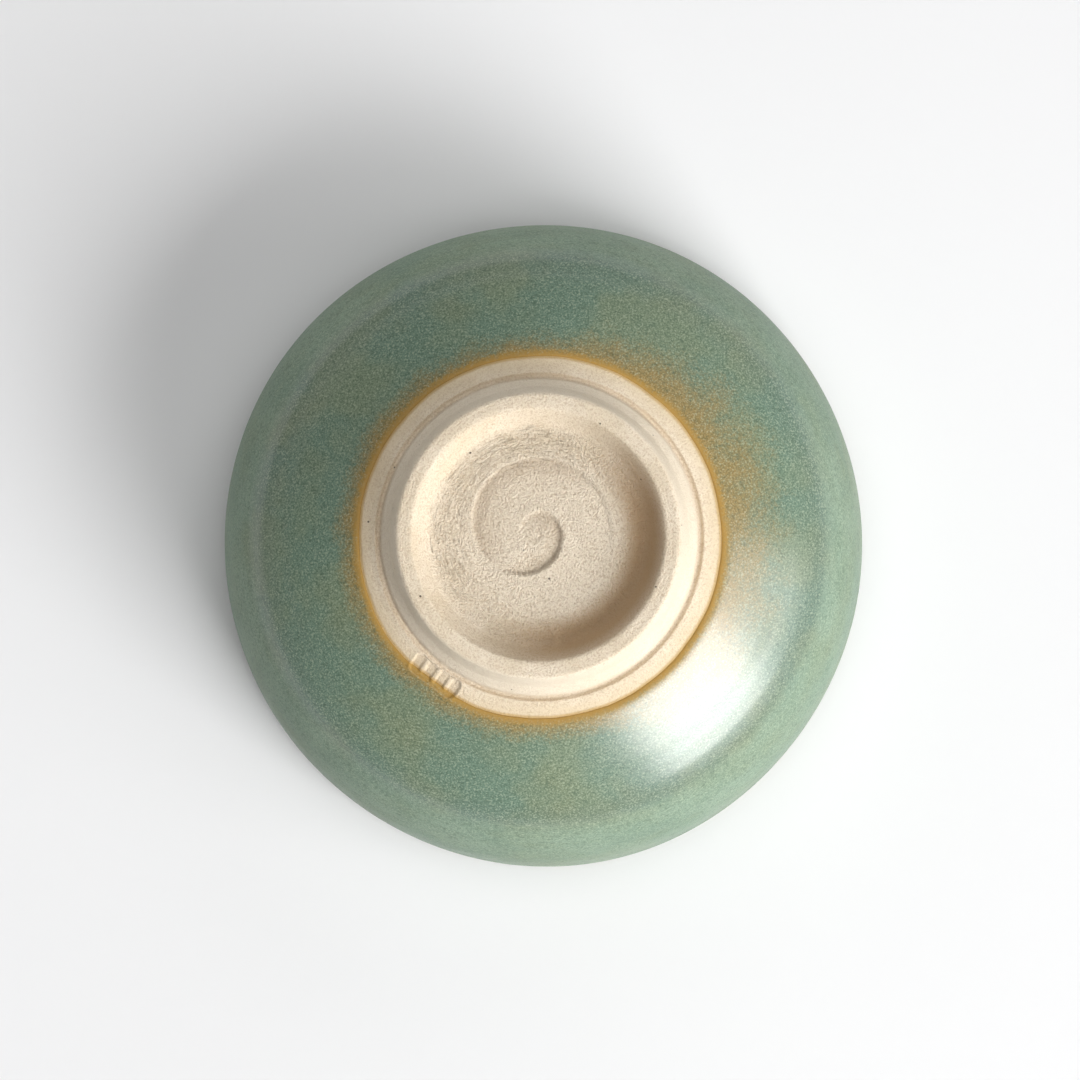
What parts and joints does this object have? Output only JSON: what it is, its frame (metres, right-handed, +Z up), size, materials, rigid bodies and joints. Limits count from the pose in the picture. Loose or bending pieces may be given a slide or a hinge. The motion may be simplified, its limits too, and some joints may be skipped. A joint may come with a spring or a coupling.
{
  "type": "rice bowl",
  "caption": "Round thrown stoneware bowl with a trimmed foot ring, glazed outside, inside and over the lip, with the foot left bare; stored upside down on its lip.",
  "frame": {"origin": "on the bowl's axis, in the plane that the lip rests on", "axes": "+Z up the bowl's axis from the lip plane to the foot ring's flat face; +X and +Y lie in the lip plane, and the blank maker's recess is towards -X -Y. The bowl is stored upside down on its lip; turned 180 degrees about X it stands on its foot"},
  "size_m": [0.12, 0.12, 0.062],
  "materials": {
    "bare_stoneware": "unglazed, fired buff clay, finely gritty, with trimming rings",
    "outer_green_glaze": "satin grey-green glaze, finely speckled, breaking amber at its edge",
    "inner_green_glaze": "satin grey-green glaze, finely speckled",
    "lip_green_glaze": "satin pale green glaze, thinner and browner over the lip's edge"
  },
  "bodies": {
    "root": {"stoneware_body": "bare_stoneware", "outer_glaze": "outer_green_glaze", "inner_glaze": "inner_green_glaze", "lip_glaze": "lip_green_glaze"}
  },
  "joints": []
}
